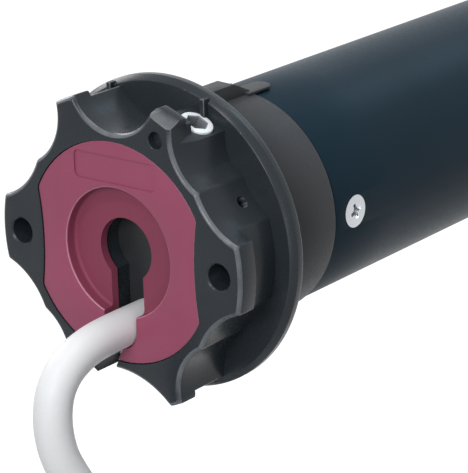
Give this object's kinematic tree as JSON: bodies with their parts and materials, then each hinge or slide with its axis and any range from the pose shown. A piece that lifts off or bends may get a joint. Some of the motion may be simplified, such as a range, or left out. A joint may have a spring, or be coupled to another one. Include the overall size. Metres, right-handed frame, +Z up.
{
  "type": "tubular roller blind motor",
  "caption": "Tubular motor for a roller blind, with a star-shaped head, a crown that turns on its neck, a drive wheel at the far end and a coiled mains cable.",
  "frame": {"origin": "midway between the two mounting holes, on the head's front face", "axes": "+X along the motor from the head to the drive wheel, +Z up, away from the cable's slot"},
  "size_m": [0.4161, 0.0616, 0.2578],
  "materials": {
    "head_plastic": "semi-gloss black",
    "cover_plastic": "semi-gloss crimson",
    "crown_plastic": "satin dark grey",
    "black_plastic": "satin black",
    "tube_paint": "satin blue-grey",
    "white_plastic": "gloss white",
    "natural_plastic": "natural acetal",
    "yellow_plastic": "yellow acetal",
    "frame_plastic": "cream",
    "sheath": "white sheath",
    "core_sheath": "brown core insulation",
    "tie_plastic": "black nylon",
    "zinc_steel": "bright zinc",
    "steel": "machined",
    "core_steel": "laminated",
    "spring_steel": "spring steel",
    "sintered_steel": "sintered",
    "cast_alloy": "die cast",
    "can_alloy": "drawn can",
    "tin": "tinned",
    "brass": "bright",
    "bronze": "sintered bronze",
    "copper": "enamelled copper",
    "friction": "friction lining"
  },
  "bodies": {
    "housing": {"head": "head_plastic", "cover_plate": "cover_plastic", "cable_plug": "black_plastic", "plug_pins": "brass", "terminal_socket": "frame_plastic", "mains_cable": "sheath", "cable_coil": "sheath", "cable_ties": "tie_plastic", "cable_tail": "sheath", "core_wires": "core_sheath", "core_ferrules": "tin", "neck_screws": "zinc_steel", "tube_adapter": "crown_plastic", "motor_tube": "tube_paint", "tube_screws_front": "zinc_steel", "tube_screws_rear": "zinc_steel", "limit_frame": "frame_plastic", "limit_switches": "tie_plastic", "capacitor": "can_alloy", "capacitor_cradle": "black_plastic", "front_shield": "cast_alloy", "rear_shield": "cast_alloy", "motor_bushes": "bronze", "stator_core": "core_steel", "stator_winding": "copper", "brake_magnet": "steel", "brake_spring": "spring_steel", "gearbox_cover": "cast_alloy", "ring_gear": "sintered_steel", "output_housing": "cast_alloy", "end_cap": "black_plastic"},
    "crown": {"crown_ring": "crown_plastic"},
    "crown_pinion_shaft": {"crown_pinion": "natural_plastic"},
    "reduction": {"reduction_gear": "natural_plastic"},
    "up_cam": {"cam_wheel_up": "natural_plastic"},
    "down_cam": {"cam_wheel_down": "yellow_plastic"},
    "up_adjuster": {"adjusting_screw_up": "white_plastic"},
    "down_adjuster": {"adjusting_screw_down": "white_plastic"},
    "up_switch_lever": {"lever_up": "brass"},
    "down_switch_lever": {"lever_down": "brass"},
    "armature": {"brake_armature": "steel"},
    "rotor": {"rotor_core": "core_steel", "rotor_shaft": "steel", "brake_disc": "friction", "sun_gear": "steel"},
    "first_carrier": {"carrier_1": "sintered_steel"},
    "second_carrier": {"carrier_2": "sintered_steel"},
    "output": {"output_shaft": "steel", "drive_wheel": "crown_plastic", "wheel_screw": "zinc_steel"},
    "first_planet_a": {"planet_1a": "natural_plastic"},
    "first_planet_b": {"planet_1b": "natural_plastic"},
    "first_planet_c": {"planet_1c": "natural_plastic"},
    "second_planet_a": {"planet_2a": "sintered_steel"},
    "second_planet_b": {"planet_2b": "sintered_steel"},
    "second_planet_c": {"planet_2c": "sintered_steel"},
    "third_planet_a": {"planet_3a": "sintered_steel"},
    "third_planet_b": {"planet_3b": "sintered_steel"},
    "third_planet_c": {"planet_3c": "sintered_steel"}
  },
  "joints": [
    {"name": "crown_spin", "type": "hinge", "parent": "housing", "child": "crown", "pos_m": [0.027, 0, 0], "axis": [1, 0, 0], "continuous": true},
    {"name": "crown_pinion_spin", "type": "hinge", "parent": "housing", "child": "crown_pinion_shaft", "pos_m": [0.045, 0, 0.0148], "axis": [1, 0, 0], "continuous": true},
    {"name": "reduction_spin", "type": "hinge", "parent": "housing", "child": "reduction", "pos_m": [0.065, -0.006, 0.00441], "axis": [1, 0, 0], "continuous": true},
    {"name": "up_cam_spin", "type": "hinge", "parent": "housing", "child": "up_cam", "pos_m": [0.064, 0.00578, -0.00109], "axis": [1, 0, 0], "continuous": true},
    {"name": "down_cam_spin", "type": "hinge", "parent": "housing", "child": "down_cam", "pos_m": [0.069, 0.00578, -0.00109], "axis": [1, 0, 0], "continuous": true},
    {"name": "up_adjuster_turn", "type": "hinge", "parent": "housing", "child": "up_adjuster", "pos_m": [0.01, -0.01052, 0.02157], "axis": [0, -0.4384, 0.8988], "continuous": true},
    {"name": "down_adjuster_turn", "type": "hinge", "parent": "housing", "child": "down_adjuster", "pos_m": [0.01, 0.01052, -0.02157], "axis": [0, 0.4384, -0.8988], "continuous": true},
    {"name": "up_lever_swing", "type": "hinge", "parent": "housing", "child": "up_switch_lever", "pos_m": [0.0657, -0.0052, -0.01129], "axis": [1, 0, 0], "range_deg": [-4, 0], "stiffness_Nm_per_rad": 0.0005, "springref_deg": 1.15},
    {"name": "down_lever_swing", "type": "hinge", "parent": "housing", "child": "down_switch_lever", "pos_m": [0.0707, -0.0052, -0.01129], "axis": [1, 0, 0], "range_deg": [-4, 0], "stiffness_Nm_per_rad": 0.0005, "springref_deg": 1.15},
    {"name": "brake_slide", "type": "slide", "parent": "housing", "child": "armature", "axis": [1, 0, 0], "range_m": [-0.0004, 0], "stiffness_N_per_m": 4000, "springref_m": 0.0005},
    {"name": "output_spin", "type": "hinge", "parent": "housing", "child": "output", "pos_m": [0.33, 0, 0], "axis": [1, 0, 0], "continuous": true},
    {"name": "second_carrier_spin", "type": "hinge", "parent": "housing", "child": "second_carrier", "pos_m": [0.298, 0, 0], "axis": [1, 0, 0], "continuous": true},
    {"name": "first_carrier_spin", "type": "hinge", "parent": "housing", "child": "first_carrier", "pos_m": [0.281, 0, 0], "axis": [1, 0, 0], "continuous": true},
    {"name": "rotor_spin", "type": "hinge", "parent": "housing", "child": "rotor", "pos_m": [0.2, 0, 0], "axis": [1, 0, 0], "continuous": true},
    {"name": "third_planet_a_spin", "type": "hinge", "parent": "output", "child": "third_planet_a", "pos_m": [0.3065, 0.01125, 0], "axis": [1, 0, 0], "continuous": true},
    {"name": "third_planet_b_spin", "type": "hinge", "parent": "output", "child": "third_planet_b", "pos_m": [0.3065, -0.00562, 0.00974], "axis": [1, 0, 0], "continuous": true},
    {"name": "third_planet_c_spin", "type": "hinge", "parent": "output", "child": "third_planet_c", "pos_m": [0.3065, -0.00562, -0.00974], "axis": [1, 0, 0], "continuous": true},
    {"name": "second_planet_a_spin", "type": "hinge", "parent": "second_carrier", "child": "second_planet_a", "pos_m": [0.29, 0.01125, 0], "axis": [1, 0, 0], "continuous": true},
    {"name": "second_planet_b_spin", "type": "hinge", "parent": "second_carrier", "child": "second_planet_b", "pos_m": [0.29, -0.00562, 0.00974], "axis": [1, 0, 0], "continuous": true},
    {"name": "second_planet_c_spin", "type": "hinge", "parent": "second_carrier", "child": "second_planet_c", "pos_m": [0.29, -0.00562, -0.00974], "axis": [1, 0, 0], "continuous": true},
    {"name": "first_planet_a_spin", "type": "hinge", "parent": "first_carrier", "child": "first_planet_a", "pos_m": [0.2735, 0.01125, 0], "axis": [1, 0, 0], "continuous": true},
    {"name": "first_planet_b_spin", "type": "hinge", "parent": "first_carrier", "child": "first_planet_b", "pos_m": [0.2735, -0.00562, 0.00974], "axis": [1, 0, 0], "continuous": true},
    {"name": "first_planet_c_spin", "type": "hinge", "parent": "first_carrier", "child": "first_planet_c", "pos_m": [0.2735, -0.00562, -0.00974], "axis": [1, 0, 0], "continuous": true}
  ],
  "couplings": [
    {"joint": "crown_pinion_spin", "follows": "crown_spin", "ratio": 4.0833},
    {"joint": "reduction_spin", "follows": "crown_spin", "ratio": -1.3611},
    {"joint": "up_cam_spin", "follows": "crown_spin", "ratio": 0.40833},
    {"joint": "down_cam_spin", "follows": "crown_spin", "ratio": 0.40833},
    {"joint": "second_carrier_spin", "follows": "output_spin", "ratio": 5},
    {"joint": "first_carrier_spin", "follows": "output_spin", "ratio": 25},
    {"joint": "rotor_spin", "follows": "output_spin", "ratio": 125},
    {"joint": "third_planet_a_spin", "follows": "output_spin", "ratio": -2.6667},
    {"joint": "third_planet_b_spin", "follows": "output_spin", "ratio": -2.6667},
    {"joint": "third_planet_c_spin", "follows": "output_spin", "ratio": -2.6667},
    {"joint": "second_planet_a_spin", "follows": "output_spin", "ratio": -13.333},
    {"joint": "second_planet_b_spin", "follows": "output_spin", "ratio": -13.333},
    {"joint": "second_planet_c_spin", "follows": "output_spin", "ratio": -13.333},
    {"joint": "first_planet_a_spin", "follows": "output_spin", "ratio": -66.667},
    {"joint": "first_planet_b_spin", "follows": "output_spin", "ratio": -66.667},
    {"joint": "first_planet_c_spin", "follows": "output_spin", "ratio": -66.667}
  ]
}
